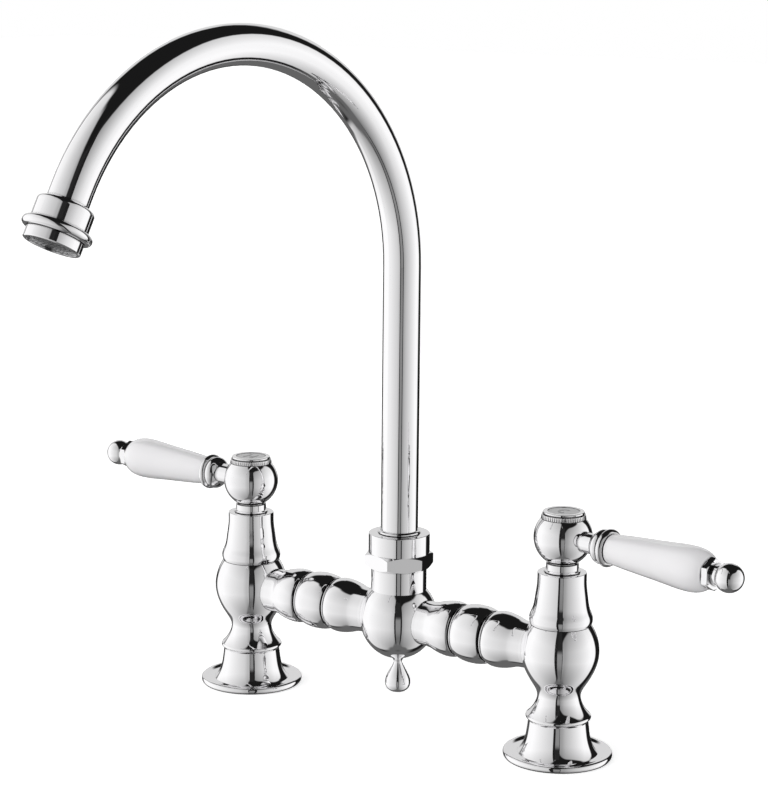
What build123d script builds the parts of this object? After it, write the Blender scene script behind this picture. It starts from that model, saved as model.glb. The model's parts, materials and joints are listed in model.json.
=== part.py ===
"""Bridge kitchen mixer: two deck pillars joined by turned arms to a centre body with a swan-neck spout.

Millimetres. X runs along the bridge (hot pillar at -X, cold at +X), the user stands at -Y and Z is up.
The origin is on the worktop, midway between the two inlets.
"""
import os
from math import cos, radians, sin

from build123d import *

# ---------------------------------------------------------------- layout
bridge_length = 180.0          # between the two pillar axes
bridge_height = 49.0           # axis of the arms above the worktop
spout_heading = -96.7          # degrees from +X, seen from above
hot_lever_heading = 176.6
cold_lever_heading = -9.5
fit_gap = 0.05                 # radial, between pieces that seat in one another
running_gap = 0.3              # between pieces that move past one another

# ---------------------------------------------------------------- base flange and its seal
flange_radius = 24.8
flange_thickness = 2.2
flange_edge_height = 1.6       # where the rim is widest
rim_crest_inset = 1.5          # from the flange's edge to the crest of its rim
rim_crest_height = 3.1
dish_inset = 3.1               # from the crest to where the dish starts to rise
base_seal_land = 2.0           # of the flange, between the pillar's foot and the seal
base_seal_width = 5.0
base_seal_thickness = 1.2

# ---------------------------------------------------------------- pillar casting
foot_radius = 14.0             # spigot inside the flange
cone_margin = 1.9              # of the dish, left round the cone's foot
cone_toe_radius = 16.4
cone_toe_height = 4.6
cone_middle_radius = 14.7
cone_middle_height = 9.2
cone_top_radius = 13.5
cone_top_height = 17.3
lip_overhang = 1.3
lip_rise = 1.8                 # from the cone's top to where the lip is widest
lip_round = 1.0
flare_radius = 11.3            # on the way from the lip to the waist
flare_rise = 4.8               # above the lip
waist_radius = 9.8
waist_rise = 5.0               # above the flare
bulb_foot_radius = 13.1
bulb_foot_drop = 12.9          # below the bridge's axis
bulb_radius = 17.6
bulb_rise = 0.6                # above the bridge's axis, as the next two
bulb_top_radius = 16.35
bulb_top_rise = 7.8
shoulder_rise = 13.2           # top of the bulb, where the bell cover sits
shoulder_ledge = 0.2           # of the shoulder, outside the bell cover
neck_length = 7.8
neck_wall = 2.1
neck_clearance = 0.8           # between the neck and the inside of the bell cover
inlet_thread_radius = 9.3      # G1/2 female, minor diameter 18.6
inlet_thread_depth = 13.0
waterway_radius = 5.0
seat_drop = 11.0               # from the bridge's axis to the floor of the valve chamber

# ---------------------------------------------------------------- bridge arm
arm_tube_radius = 10.4
arm_bulge_radius = 13.6
arm_bulge_half_width = 7.5
arm_bulge_end_radius = 12.1
arm_groove_depth = 1.0
arm_groove_width = 0.4
arm_ring_rise = 0.6            # above the groove
arm_ring_width = 1.0
arm_ring_round = 0.3
arm_shoulder_step = 0.9        # over the groove, where the shoulder starts
arm_shoulder_radius = 12.9
arm_shoulder_reach = 11.6      # from the middle of the arm, as the next two
arm_taper_radius = 11.45
arm_taper_reach = 21.4
arm_tube_reach = 28.8
spigot_radius = 7.6
spigot_length = 2.6
spigot_groove_width = 1.4
arm_seal_cord = 1.1

# ---------------------------------------------------------------- centre body and drop finial
ball_radius = 18.2
ball_half_height = 19.8
body_socket_reach = 12.5       # from the body's axis to the floor of an arm's socket
body_neck_rise = 26.0          # above the bridge's axis
body_neck_step = 1.8           # neck over thread
body_thread_radius = 11.2
body_thread_length = 5.0
body_sump_depth = 1.0          # of the bore, below the arms' waterways
finial_flat_depth = 0.3        # cut from the foot of the ball
finial_flare_radius = 3.4
finial_neck_radius = 2.3
finial_neck_drop = 3.5         # below the flat, as the next two
finial_shoulder_radius = 3.7
finial_shoulder_drop = 6.2
finial_belly_radius = 5.9
finial_belly_drop = 11.4
finial_stem_radius = 2.0
finial_stem_length = 7.0

# ---------------------------------------------------------------- spout nut, slip ring and tail
nut_lap = 1.2                  # of the nut over the body's neck
nut_hex_wall = 1.2             # between the body's neck and a flat
nut_hex_height = 7.0
nut_chamfer_width = 2.2
nut_chamfer_height = 1.3
nut_turn = -13.2               # degrees, where the nut came to rest
nut_collar_wall = 1.3          # between the body's neck and the collar's outside
nut_edge_round = 0.4
nut_lip_thickness = 4.5
slip_ring_thickness = 2.5
tail_radius = 7.9
tail_length = 24.3             # below its flange
tail_flange_thickness = 2.5
tail_wall = 0.5                # under the seal grooves
tail_plug_length = 7.0         # the part brazed inside the tube
tail_seal_cord = 1.8
tail_seal_drop = 13.3          # from the flange to the upper seal
tail_seal_distance = 5.5       # between the two seals

# ---------------------------------------------------------------- spout tube and foot ring
tube_radius = 8.7
tube_wall = 1.0
riser_length = 132.6
arch_radius = 101.1
arch_sweep = 152.5             # degrees
tube_end_length = 4.9          # straight run after the arch, up to the outlet ferrule
foot_ring_width = 1.15
foot_ring_height = 1.1

# ---------------------------------------------------------------- outlet ferrule and aerator
ferrule_lip_wall = 0.5
ferrule_wall = 3.2
ferrule_shoulder_height = 2.6
ferrule_length = 9.9
ferrule_socket_depth = 6.5
bead_overhang = 2.6
bead_thickness = 4.0
aerator_length = 4.8
aerator_notch_depth = 0.4
aerator_bevel = 0.4
aerator_lip_wall = 1.3
aerator_thread_step = 2.0      # thread under the cup's outside
aerator_thread_length = 5.0
aerator_cup_wall = 1.1
aerator_washer_width = 3.3
aerator_washer_thickness = 1.2
mesh_thickness = 1.0
mesh_recess_depth = 0.9
mesh_hole_distance = 1.85
mesh_hole_radius = 0.65
straightener_thickness = 3.0
straightener_channels = 8
straightener_channel_radius = 1.5

# ---------------------------------------------------------------- quarter-turn valve
barrel_clearance = 0.7         # between the barrel and its chamber
barrel_wall = 1.4
barrel_groove_depth = 0.7
barrel_seal_drop = 3.5         # below the thread
valve_thread_length = 9.5
window_width = 5.5
window_height = 5.0
window_drop = 2.45             # from the carrier's foot to the foot of a window
cap_flange_inset = 0.6         # inside the neck's outside
cap_flange_thickness = 3.0
bonnet_radius = 8.6
seat_seal_inner_radius = 4.9
seat_seal_thickness = 2.4
disc_thickness = 3.0
disc_film = 0.05               # between the two ceramic discs
port_radius = 3.7
port_width = 2.8
port_sweep = 40.0              # degrees, between the middles of its round ends
carrier_thickness = 4.8
spindle_radius = 3.9
spindle_end_gap = 0.5          # between the spindle and the floor of its socket in the hub
spindle_seal_cord = 1.2
spindle_seal_drop = 7.0        # below the bonnet's top
clip_width = 1.7
clip_thickness = 0.8

# ---------------------------------------------------------------- bell cover
bell_wall = 1.0
bell_foot_flare = 1.25         # foot over flare
bell_edge_inset = 0.75         # from the foot's outside to its lower edge
bell_foot_rise = 2.5           # above the shoulder, as the next five
bell_land_rise = 3.8           # top of the land that grips the pillar's neck
bell_flare_radius = 13.0
bell_flare_rise = 6.7
bell_middle_taper = 1.2        # from flare to middle
bell_middle_rise = 12.8
bell_upper_taper = 0.75        # from middle to upper
bell_upper_rise = 18.8
bell_top_taper = 0.05          # from upper to top
bell_height = 24.2
bell_top_thickness = 1.2
bell_edge_round = 0.35

# ---------------------------------------------------------------- lever hub, screw and index cap
lever_rise = 15.9              # from the bell cover's top to the axis of the lever
hub_radius = 13.15
hub_top_rise = 8.5             # from the lever's axis to the flat under the cap
hub_neck_drop = 12.0           # from the lever's axis to the foot of the ball
hub_skirt_radius = 7.3
hub_skirt_depth = 1.7          # inside the bell cover
hub_bead_overhang = 0.7
hub_bead_thickness = 0.8
hub_groove_depth = 1.0
hub_groove_height = 0.8
hub_floor_thickness = 4.1      # between the spindle's socket and the screw's pocket
screw_radius = 1.95
screw_length = 9.1
screw_head_radius = 3.8
screw_head_height = 3.4
screw_key_radius = 1.5
cap_spigot_radius = 6.0
cap_spigot_length = 3.2
cap_bezel_radius = 9.3
cap_bezel_height = 0.7
cap_bezel_width = 2.0
cap_groove_depth = 0.7
cap_groove_height = 0.65
cap_ring_overhang = 0.55       # ring over bezel
cap_ring_taper = 0.2
cap_ring_height = 2.05
cap_relief_depth = 0.5         # undercut of the ring's foot
cap_relief_height = 0.35
cap_recess_depth = 0.75
knurl_count = 60
knurl_groove_radius = 0.32
index_thickness = 0.5

# ---------------------------------------------------------------- lever
tenon_radius = 2.95
tenon_length = 5.1
stub_depth = 1.35              # in the hub's ball
stub_radius = 4.6
stub_length = 6.6
collar_flare_radius = 5.7
collar_flare_length = 1.8
collar_bead_radius = 7.75
collar_bead_length = 3.2
collar_groove_depth = 0.65
collar_groove_length = 1.5
collar_ring_rise = 1.4         # above the groove
collar_ring_length = 1.7
collar_end_radius = 7.3
collar_end_length = 1.9
rod_radius = 2.5
rod_seat_depth = 7.5           # of the rod inside the collar
rod_inset = 1.9                # from the rod's end to the middle of the end ball
grip_washer_radius = 6.3
grip_washer_thickness = 0.4
grip_length = 53.1
grip_root_radius = 6.6
grip_root_flare_radius = 7.75
grip_root_flare_reach = 12.6   # from the grip's collar end
grip_middle_radius = 9.1
grip_middle_reach = 22.0       # from the grip's outer end, as the next two
grip_belly_radius = 9.85
grip_belly_reach = 10.0
grip_shoulder_radius = 9.0
grip_shoulder_reach = 3.6
grip_tip_radius = 6.9
end_nut_corner_radius = 7.2
end_nut_thickness = 3.0
end_nut_chamfer_height = 0.45
end_nut_chamfer_width = 0.7
end_ball_radius = 6.35
end_ball_reach = 7.0           # from the end nut to the middle of the ball
end_neck_radius = 4.6

# ---------------------------------------------------------------- what follows from the sizes
# bell cover, its radii from the flare and its heights from the pillar's shoulder
shoulder_height = bridge_height + shoulder_rise
bell_foot_radius = bell_flare_radius + bell_foot_flare
bell_edge_radius = bell_foot_radius - bell_edge_inset
bell_middle_radius = bell_flare_radius - bell_middle_taper
bell_upper_radius = bell_middle_radius - bell_upper_taper
bell_top_radius = bell_upper_radius - bell_top_taper
bell_foot_height = shoulder_height + bell_foot_rise
bell_land_height = shoulder_height + bell_land_rise
bell_flare_height = shoulder_height + bell_flare_rise
bell_middle_height = shoulder_height + bell_middle_rise
bell_upper_height = shoulder_height + bell_upper_rise
bell_top_height = shoulder_height + bell_height

# base flange and pillar
rim_crest_radius = flange_radius - rim_crest_inset
dish_radius = rim_crest_radius - dish_inset
base_seal_inner_radius = foot_radius + base_seal_land
base_seal_outer_radius = base_seal_inner_radius + base_seal_width
cone_foot_radius = dish_radius - cone_margin
lip_radius = cone_top_radius + lip_overhang
lip_height = cone_top_height + lip_rise
flare_height = lip_height + flare_rise
waist_height = flare_height + waist_rise
bulb_foot_height = bridge_height - bulb_foot_drop
bulb_height = bridge_height + bulb_rise
bulb_top_height = bridge_height + bulb_top_rise
shoulder_radius = bell_edge_radius + shoulder_ledge
neck_radius = bell_flare_radius - bell_wall - neck_clearance
neck_top_height = shoulder_height + neck_length
chamber_radius = neck_radius - neck_wall
seat_height = bridge_height - seat_drop

# arm, from socket floor to socket floor
pillar_reach = bridge_length / 2                       # from the middle to a pillar's axis
pillar_socket_floor = chamber_radius + spigot_length   # from the pillar's axis
arm_half_length = (pillar_reach - pillar_socket_floor - body_socket_reach) / 2
arm_middle = body_socket_reach + arm_half_length
arm_groove_radius = arm_bulge_end_radius - arm_groove_depth
arm_ring_radius = arm_groove_radius + arm_ring_rise
arm_shoulder_foot_radius = arm_groove_radius + arm_shoulder_step
socket_pocket_radius = arm_tube_radius + fit_gap

# centre body and finial
body_neck_radius = body_thread_radius + body_neck_step
body_neck_height = bridge_height + body_neck_rise
body_top_height = body_neck_height + body_thread_length
body_bore_radius = tail_radius + 2 * fit_gap
body_bore_floor = bridge_height - waterway_radius - body_sump_depth
finial_seat_height = bridge_height - ball_half_height + finial_flat_depth

# spout's tail, nut and slip ring
tail_flange_foot = body_top_height + running_gap
tail_flange_radius = body_thread_radius - running_gap
tail_foot_height = tail_flange_foot - tail_length
tail_groove_radius = tail_radius - tail_seal_cord
tail_bore_radius = tail_groove_radius - tail_wall
upper_seal_height = tail_flange_foot - tail_seal_drop
tail_seal_heights = (upper_seal_height - tail_seal_distance, upper_seal_height)
tube_foot = tail_flange_foot + tail_flange_thickness
slip_ring_foot = tube_foot + running_gap
slip_ring_top = slip_ring_foot + slip_ring_thickness
nut_bottom_height = body_neck_height - nut_lap
nut_top_height = slip_ring_top + nut_lip_thickness
nut_bore_radius = body_thread_radius + fit_gap
nut_collar_radius = body_neck_radius + nut_collar_wall
nut_corner_radius = (body_neck_radius + nut_hex_wall) / cos(radians(30))

# spout and outlet; distances along the outlet are from the ferrule's lip
tube_bore_radius = tube_radius - tube_wall
foot_ring_radius = tube_radius + foot_ring_width
ferrule_lip_radius = tube_radius + ferrule_lip_wall
ferrule_radius = tube_radius + ferrule_wall
bead_radius = ferrule_radius + bead_overhang
bead_face = ferrule_length + bead_thickness
aerator_radius = ferrule_radius
aerator_bore_radius = aerator_radius - aerator_lip_wall
aerator_thread_radius = aerator_radius - aerator_thread_step
aerator_cup_radius = aerator_thread_radius - aerator_cup_wall
aerator_inner_end = bead_face - aerator_thread_length
outlet_face = bead_face + aerator_length
mesh_foot = outlet_face - mesh_recess_depth - mesh_thickness
mesh_rows = int((aerator_bore_radius - mesh_hole_radius) / mesh_hole_distance)

# lever hub, from the bell cover up
lever_height = bell_top_height + lever_rise
hub_skirt_foot = bell_top_height - hub_skirt_depth
hub_skirt_top = lever_height - hub_neck_drop
hub_bead_radius = hub_skirt_radius + hub_bead_overhang
hub_groove_radius = hub_skirt_radius - hub_groove_depth
hub_top_height = lever_height + hub_top_rise
screw_seat_height = hub_top_height - cap_spigot_length - 2 * running_gap - screw_head_height
screw_foot_height = screw_seat_height - screw_length
screw_hole_radius = screw_radius + 3 * fit_gap
hub_socket_top = screw_seat_height - hub_floor_thickness
cap_ring_top_radius = cap_bezel_radius + cap_ring_overhang
cap_ring_foot_radius = cap_ring_top_radius + cap_ring_taper
cap_groove_radius = cap_bezel_radius - cap_groove_depth
cap_recess_radius = cap_bezel_radius - cap_bezel_width
cap_top_height = hub_top_height + cap_ring_height + cap_groove_height + cap_bezel_height

# valve, from its seat up and from the hub down
thread_radius = chamber_radius - 2 * fit_gap
barrel_radius = chamber_radius - barrel_clearance
barrel_bore_radius = barrel_radius - barrel_wall
barrel_foot_height = seat_height + running_gap
barrel_seal_cord = barrel_clearance + barrel_groove_depth - 2 * fit_gap
disc_radius = barrel_bore_radius - 2 * fit_gap
fixed_disc_foot = seat_height + seat_seal_thickness
moving_disc_foot = fixed_disc_foot + disc_thickness + disc_film
carrier_foot = moving_disc_foot + disc_thickness
barrel_bore_top = carrier_foot + carrier_thickness + running_gap
window_bottom = carrier_foot - window_drop
thread_bottom_height = neck_top_height - valve_thread_length
barrel_seal_height = thread_bottom_height - barrel_seal_drop
cap_flange_radius = neck_radius - cap_flange_inset
bonnet_top_height = hub_skirt_foot - clip_thickness - 3 * running_gap
clip_height = bonnet_top_height + running_gap
clip_radius = spindle_radius + clip_width
spindle_bore_radius = spindle_radius + 2 * fit_gap
spindle_seal_height = bonnet_top_height - spindle_seal_drop
spindle_top_height = hub_socket_top - spindle_end_gap

# lever, its reaches along it from the pillar's axis
stub_start = hub_radius - stub_depth
tenon_start = stub_start - tenon_length
stub_end = stub_start + stub_length
collar_flare_reach = stub_end + collar_flare_length
collar_bead_reach = collar_flare_reach + collar_bead_length
collar_groove_radius = collar_bead_radius - collar_groove_depth
collar_groove_reach = collar_bead_reach + collar_groove_length
collar_ring_radius = collar_groove_radius + collar_ring_rise
collar_ring_reach = collar_groove_reach + collar_ring_length
collar_end = collar_ring_reach + collar_end_length
rod_start = collar_end - rod_seat_depth
grip_foot = collar_end + grip_washer_thickness
grip_end = grip_foot + grip_length
end_nut_foot = grip_end + grip_washer_thickness
end_nut_top = end_nut_foot + end_nut_thickness
end_ball_middle = end_nut_top + end_ball_reach
rod_end = end_ball_middle - rod_inset


def heading(degrees_from_x):
    """The level direction at an angle from +X, seen from above."""
    return Vector(cos(radians(degrees_from_x)), sin(radians(degrees_from_x)), 0)


def upright_frame(x, facing):
    """Frame on the worktop at x: Z up, X along the level direction it faces."""
    return Plane((x, 0, 0), x_dir=heading(facing), z_dir=(0, 0, 1))


def level_frame(x, height, facing):
    """Frame whose Z runs out level along its facing, with X up."""
    return Plane((x, 0, height), x_dir=(0, 0, 1), z_dir=heading(facing))


def half_plane(frame):
    """Plane of a turned piece's half outline: its X is the radius, its Y the frame's Z."""
    return Plane(frame.origin, x_dir=frame.x_dir, z_dir=-frame.y_dir)


def turning_axis(frame):
    return Axis(frame.origin, frame.z_dir)


def turned(frame, *outline):
    """A straight-sided turned piece, from the corners (radius, height) of its half outline."""
    with BuildPart() as piece:
        with BuildSketch(half_plane(frame)):
            with BuildLine():
                Polyline(*outline, close=True)
            make_face()
        revolve(axis=turning_axis(frame))
    return piece.part


def ring(frame, inner_radius, outer_radius, foot, top):
    return turned(frame, (inner_radius, foot), (outer_radius, foot), (outer_radius, top), (inner_radius, top))


def o_rings(frame, groove_radius, cord, heights):
    """Round-section seals, each lying in its groove."""
    with BuildPart() as seals:
        with BuildSketch(half_plane(frame)):
            with Locations(*[(groove_radius + fit_gap + cord / 2, height) for height in heights]):
                Circle(cord / 2)
        revolve(axis=turning_axis(frame))
    return seals.part


def keep(part, name):
    part.label = name
    export_step(part, f"parts/{name}.step")


# ---------------------------------------------------------------- base
def base_flange(frame):
    with BuildPart() as flange:
        with BuildSketch(half_plane(frame)):
            with BuildLine():
                bore = foot_radius + fit_gap
                rim_foot = (rim_crest_radius + flange_edge_height / 2, 0)
                Polyline((bore, flange_thickness), (bore, 0), rim_foot)
                Spline(rim_foot, (flange_radius, flange_edge_height), (rim_crest_radius, rim_crest_height),
                       tangents=[(1, 1), (-1, 0)])
                Spline((rim_crest_radius, rim_crest_height), (dish_radius, flange_thickness),
                       tangents=[(-1, 0), (-1, 0)])
                Line((dish_radius, flange_thickness), (bore, flange_thickness))
            make_face()
        revolve(axis=turning_axis(frame))
        with BuildSketch(frame):
            Circle(base_seal_outer_radius + fit_gap)
            Circle(base_seal_inner_radius - fit_gap, mode=Mode.SUBTRACT)
        extrude(amount=base_seal_thickness, mode=Mode.SUBTRACT)
    return flange.part


def pillar(frame, side_frame):
    """Pillar casting: cone, lip, waist and bulb, with its waterways and the socket for its arm."""
    lip_foot = (lip_radius - lip_round, lip_height - lip_round)
    with BuildPart() as casting:
        with BuildSketch(half_plane(frame)):
            with BuildLine():
                Polyline((0, neck_top_height), (0, 0), (foot_radius, 0), (foot_radius, flange_thickness),
                         (cone_foot_radius, flange_thickness))
                Spline((cone_foot_radius, flange_thickness), (cone_toe_radius, cone_toe_height),
                       (cone_middle_radius, cone_middle_height), (cone_top_radius, cone_top_height))
                Line((cone_top_radius, cone_top_height), lip_foot)
                lip = ThreePointArc(lip_foot, (lip_radius, lip_height),
                                    (lip_radius - lip_round / 2, lip_height + lip_round))
                Spline(lip @ 1, (flare_radius, flare_height), (waist_radius, waist_height),
                       (bulb_foot_radius, bulb_foot_height), (bulb_radius, bulb_height),
                       (bulb_top_radius, bulb_top_height), (shoulder_radius, shoulder_height))
                Polyline((shoulder_radius, shoulder_height), (neck_radius, shoulder_height),
                         (neck_radius, neck_top_height), (0, neck_top_height))
            make_face()
        revolve(axis=turning_axis(frame))
        with BuildSketch(frame):
            Circle(inlet_thread_radius)
        extrude(amount=inlet_thread_depth, mode=Mode.SUBTRACT)
        with BuildSketch(frame.offset(inlet_thread_depth)):
            Circle(waterway_radius)
        extrude(amount=seat_height - inlet_thread_depth, mode=Mode.SUBTRACT)
        with BuildSketch(frame.offset(seat_height)):
            Circle(chamber_radius)
        extrude(amount=neck_top_height - seat_height, mode=Mode.SUBTRACT)
        with BuildSketch(side_frame):
            Circle(spigot_radius + fit_gap)
        extrude(amount=pillar_socket_floor, mode=Mode.SUBTRACT)
        with BuildSketch(side_frame.offset(pillar_socket_floor)):
            Circle(socket_pocket_radius)
        extrude(amount=bulb_radius, mode=Mode.SUBTRACT)
    return casting.part


# ---------------------------------------------------------------- bridge
def bridge_arm(frame):
    """Turned arm, drawn from its middle outwards: ringed bulge, shoulder, tube and grooved spigot."""
    ring_start = arm_bulge_half_width + arm_groove_width
    ring_end = ring_start + arm_ring_width
    ring_edge = arm_ring_radius - arm_ring_round
    shoulder_start = ring_end + arm_groove_width
    spigot_end = arm_half_length + spigot_length
    seal_start = arm_half_length + (spigot_length - spigot_groove_width) / 2
    seal_end = seal_start + spigot_groove_width
    seal_floor = spigot_radius - arm_seal_cord
    with BuildPart() as arm:
        with BuildSketch(half_plane(frame)):
            with BuildLine():
                Spline((arm_bulge_radius, 0), (arm_bulge_end_radius, arm_bulge_half_width),
                       tangents=[(0, 1), (-0.6, 1)])
                Polyline((arm_bulge_end_radius, arm_bulge_half_width),
                         (arm_groove_radius, arm_bulge_half_width), (arm_groove_radius, ring_start),
                         (ring_edge, ring_start))
                ThreePointArc((ring_edge, ring_start), (arm_ring_radius, (ring_start + ring_end) / 2),
                              (ring_edge, ring_end))
                Polyline((ring_edge, ring_end), (arm_groove_radius, ring_end),
                         (arm_groove_radius, shoulder_start), (arm_shoulder_foot_radius, shoulder_start))
                Spline((arm_shoulder_foot_radius, shoulder_start), (arm_shoulder_radius, arm_shoulder_reach),
                       (arm_taper_radius, arm_taper_reach), (arm_tube_radius, arm_tube_reach),
                       tangents=[(1, 1), (-0.05, 1)])
                Polyline((arm_tube_radius, arm_tube_reach), (arm_tube_radius, arm_half_length),
                         (spigot_radius, arm_half_length), (spigot_radius, seal_start),
                         (seal_floor, seal_start), (seal_floor, seal_end), (spigot_radius, seal_end),
                         (spigot_radius, spigot_end), (waterway_radius, spigot_end), (waterway_radius, 0),
                         (arm_bulge_radius, 0))
            make_face()
            mirror(about=Plane.XZ)
        revolve(axis=turning_axis(frame))
    return arm.part


def arm_seals(frame):
    seal_reach = arm_half_length + spigot_length / 2
    return o_rings(frame, spigot_radius - arm_seal_cord, arm_seal_cord, (-seal_reach, seal_reach))


def centre_body(frame):
    """Ball and neck of the bridge, bored for the spout tail and socketed for both arms."""
    with BuildPart() as body:
        with BuildSketch(half_plane(frame)):
            with Locations((0, bridge_height)):
                Ellipse(ball_radius, ball_half_height)
            with Locations((0, bridge_height)):
                Rectangle(body_neck_radius, body_neck_height - bridge_height,
                          align=(Align.MIN, Align.MIN))
                Rectangle(body_thread_radius, body_top_height - bridge_height,
                          align=(Align.MIN, Align.MIN))
            with Locations((0, bridge_height)):
                Rectangle(2 * ball_radius, 4 * ball_half_height, align=(Align.MAX, Align.CENTER),
                          mode=Mode.SUBTRACT)
            with Locations((0, finial_seat_height)):
                Rectangle(2 * ball_radius, ball_half_height, align=(Align.CENTER, Align.MAX),
                          mode=Mode.SUBTRACT)
        revolve(axis=turning_axis(frame))
        with BuildSketch(frame.offset(body_bore_floor)):
            Circle(body_bore_radius)
        extrude(amount=body_top_height - body_bore_floor, mode=Mode.SUBTRACT)
        with BuildSketch(frame.offset(finial_seat_height)):
            Circle(finial_stem_radius + fit_gap)
        extrude(amount=finial_stem_length + fit_gap, mode=Mode.SUBTRACT)
        for facing in (0, 180):
            side_frame = level_frame(0, bridge_height, facing)
            with BuildSketch(side_frame):
                Circle(waterway_radius)
            extrude(amount=body_socket_reach, mode=Mode.SUBTRACT)
            with BuildSketch(side_frame.offset(body_socket_reach - spigot_length - fit_gap)):
                Circle(spigot_radius + fit_gap)
            extrude(amount=spigot_length + fit_gap, mode=Mode.SUBTRACT)
            with BuildSketch(side_frame.offset(body_socket_reach)):
                Circle(socket_pocket_radius)
            extrude(amount=ball_radius, mode=Mode.SUBTRACT)
    return body.part


def drop_finial(frame):
    with BuildPart() as finial:
        with BuildSketch(half_plane(frame)):
            with BuildLine():
                belly_height = finial_seat_height - finial_belly_drop
                drop_foot = belly_height - finial_belly_radius
                stem_top = finial_seat_height + finial_stem_length
                Line((0, stem_top), (0, drop_foot))
                Spline((0, drop_foot), (finial_belly_radius, belly_height),
                       (finial_shoulder_radius, finial_seat_height - finial_shoulder_drop),
                       (finial_neck_radius, finial_seat_height - finial_neck_drop),
                       (finial_flare_radius, finial_seat_height), tangents=[(1, 0), (1, 1)])
                Polyline((finial_flare_radius, finial_seat_height), (finial_stem_radius, finial_seat_height),
                         (finial_stem_radius, stem_top), (0, stem_top))
            make_face()
        revolve(axis=turning_axis(frame))
    return finial.part


# ---------------------------------------------------------------- spout
def spout_nut(frame):
    """Hexagon nut with a tall collar that holds the spout's tail down in the body."""
    hex_top = nut_bottom_height + nut_hex_height
    with BuildPart() as nut:
        with BuildSketch(frame.rotated((0, 0, nut_turn)).offset(nut_bottom_height)):
            RegularPolygon(nut_corner_radius, 6)
        extrude(amount=nut_hex_height)
        with BuildSketch(half_plane(frame)):
            with BuildLine():
                Polyline((nut_corner_radius - nut_chamfer_width, nut_bottom_height),
                         (nut_corner_radius, nut_bottom_height + nut_chamfer_height),
                         (nut_corner_radius, hex_top - nut_chamfer_height),
                         (nut_corner_radius - nut_chamfer_width, hex_top), (0, hex_top),
                         (0, nut_bottom_height), close=True)
            make_face()
        revolve(axis=turning_axis(frame), mode=Mode.INTERSECT)
        with BuildSketch(frame.offset(hex_top)):
            Circle(nut_collar_radius)
        extrude(amount=nut_top_height - hex_top)
        fillet(nut.faces().sort_by(Axis.Z)[-1].edges(), nut_edge_round)
        with BuildSketch(frame.offset(nut_bottom_height)):
            Circle(body_neck_radius + fit_gap)
        extrude(amount=body_neck_height - nut_bottom_height, mode=Mode.SUBTRACT)
        with BuildSketch(frame.offset(body_neck_height)):
            Circle(nut_bore_radius)
        extrude(amount=slip_ring_top - body_neck_height, mode=Mode.SUBTRACT)
        with BuildSketch(frame.offset(slip_ring_top)):
            Circle(tube_radius + running_gap)
        extrude(amount=nut_lip_thickness, mode=Mode.SUBTRACT)
    return nut.part


def spout_tail(frame):
    """Turned tail brazed into the tube: plug, thrust flange and a spigot with two seal grooves."""
    half_groove = tail_seal_cord / 2 + fit_gap
    outline = [(tail_bore_radius, tail_foot_height), (tail_radius, tail_foot_height)]
    for height in tail_seal_heights:
        outline += [(tail_radius, height - half_groove), (tail_groove_radius, height - half_groove),
                    (tail_groove_radius, height + half_groove), (tail_radius, height + half_groove)]
    plug_radius = tube_bore_radius - fit_gap
    outline += [(tail_radius, tail_flange_foot), (tail_flange_radius, tail_flange_foot),
                (tail_flange_radius, tube_foot), (plug_radius, tube_foot),
                (plug_radius, tube_foot + tail_plug_length), (tail_bore_radius, tube_foot + tail_plug_length)]
    return turned(frame, *outline)


with BuildLine(half_plane(upright_frame(0, spout_heading))) as spout_path:
    riser = Line((0, tube_foot), (0, tube_foot + riser_length))
    arch = JernArc(start=riser @ 1, tangent=riser % 1, radius=arch_radius, arc_size=-arch_sweep)
    PolarLine(start=arch @ 1, length=tube_end_length, direction=arch % 1)

# the ferrule's frame: at the mouth of the straight run, Z pointing out of the spout
outlet_frame = Plane(spout_path.wires()[0] @ 1, z_dir=spout_path.wires()[0] % 1)


def spout_tube(frame):
    with BuildPart() as tube:
        with BuildSketch(frame.offset(tube_foot)):
            Circle(tube_radius)
            Circle(tube_bore_radius, mode=Mode.SUBTRACT)
        sweep(path=spout_path.wires()[0])
        # the last run of the tube stands inside the ferrule's socket
        with BuildSketch(outlet_frame):
            Circle(tube_radius)
            Circle(tube_bore_radius, mode=Mode.SUBTRACT)
        extrude(amount=ferrule_socket_depth)
    return tube.part


def spout_foot_ring(frame):
    """Bead brazed round the tube just above the nut."""
    foot = nut_top_height + running_gap
    top = foot + foot_ring_height
    bore = tube_radius + fit_gap
    with BuildPart() as bead:
        with BuildSketch(half_plane(frame)):
            with BuildLine():
                Polyline((bore, top), (bore, foot), (foot_ring_radius, foot))
                Spline((foot_ring_radius, foot), (bore, top), tangents=[(0, 1), (-1, 0.4)])
            make_face()
        revolve(axis=turning_axis(frame))
    return bead.part


def outlet_ferrule():
    """Turned end of the spout: shoulder, barrel and rounded bead, bored for the tube and the aerator."""
    bore = tube_radius + fit_gap
    bead_core = bead_radius - bead_thickness / 2
    with BuildPart() as ferrule:
        with BuildSketch(half_plane(outlet_frame)):
            with BuildLine():
                Line((bore, 0), (ferrule_lip_radius, 0))
                Spline((ferrule_lip_radius, 0), (ferrule_radius, ferrule_shoulder_height),
                       tangents=[(1, 0.6), (0, 1)])
                Polyline((ferrule_radius, ferrule_shoulder_height), (ferrule_radius, ferrule_length),
                         (bead_core, ferrule_length))
                ThreePointArc((bead_core, ferrule_length), (bead_radius, (ferrule_length + bead_face) / 2),
                              (bead_core, bead_face))
                thread_bore = aerator_thread_radius + fit_gap
                thread_end = aerator_inner_end - aerator_washer_thickness
                Polyline((bead_core, bead_face), (thread_bore, bead_face),
                         (thread_bore, thread_end), (tube_bore_radius, thread_end),
                         (tube_bore_radius, ferrule_socket_depth), (bore, ferrule_socket_depth), (bore, 0))
            make_face()
        revolve(axis=turning_axis(outlet_frame))
    return ferrule.part


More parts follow.
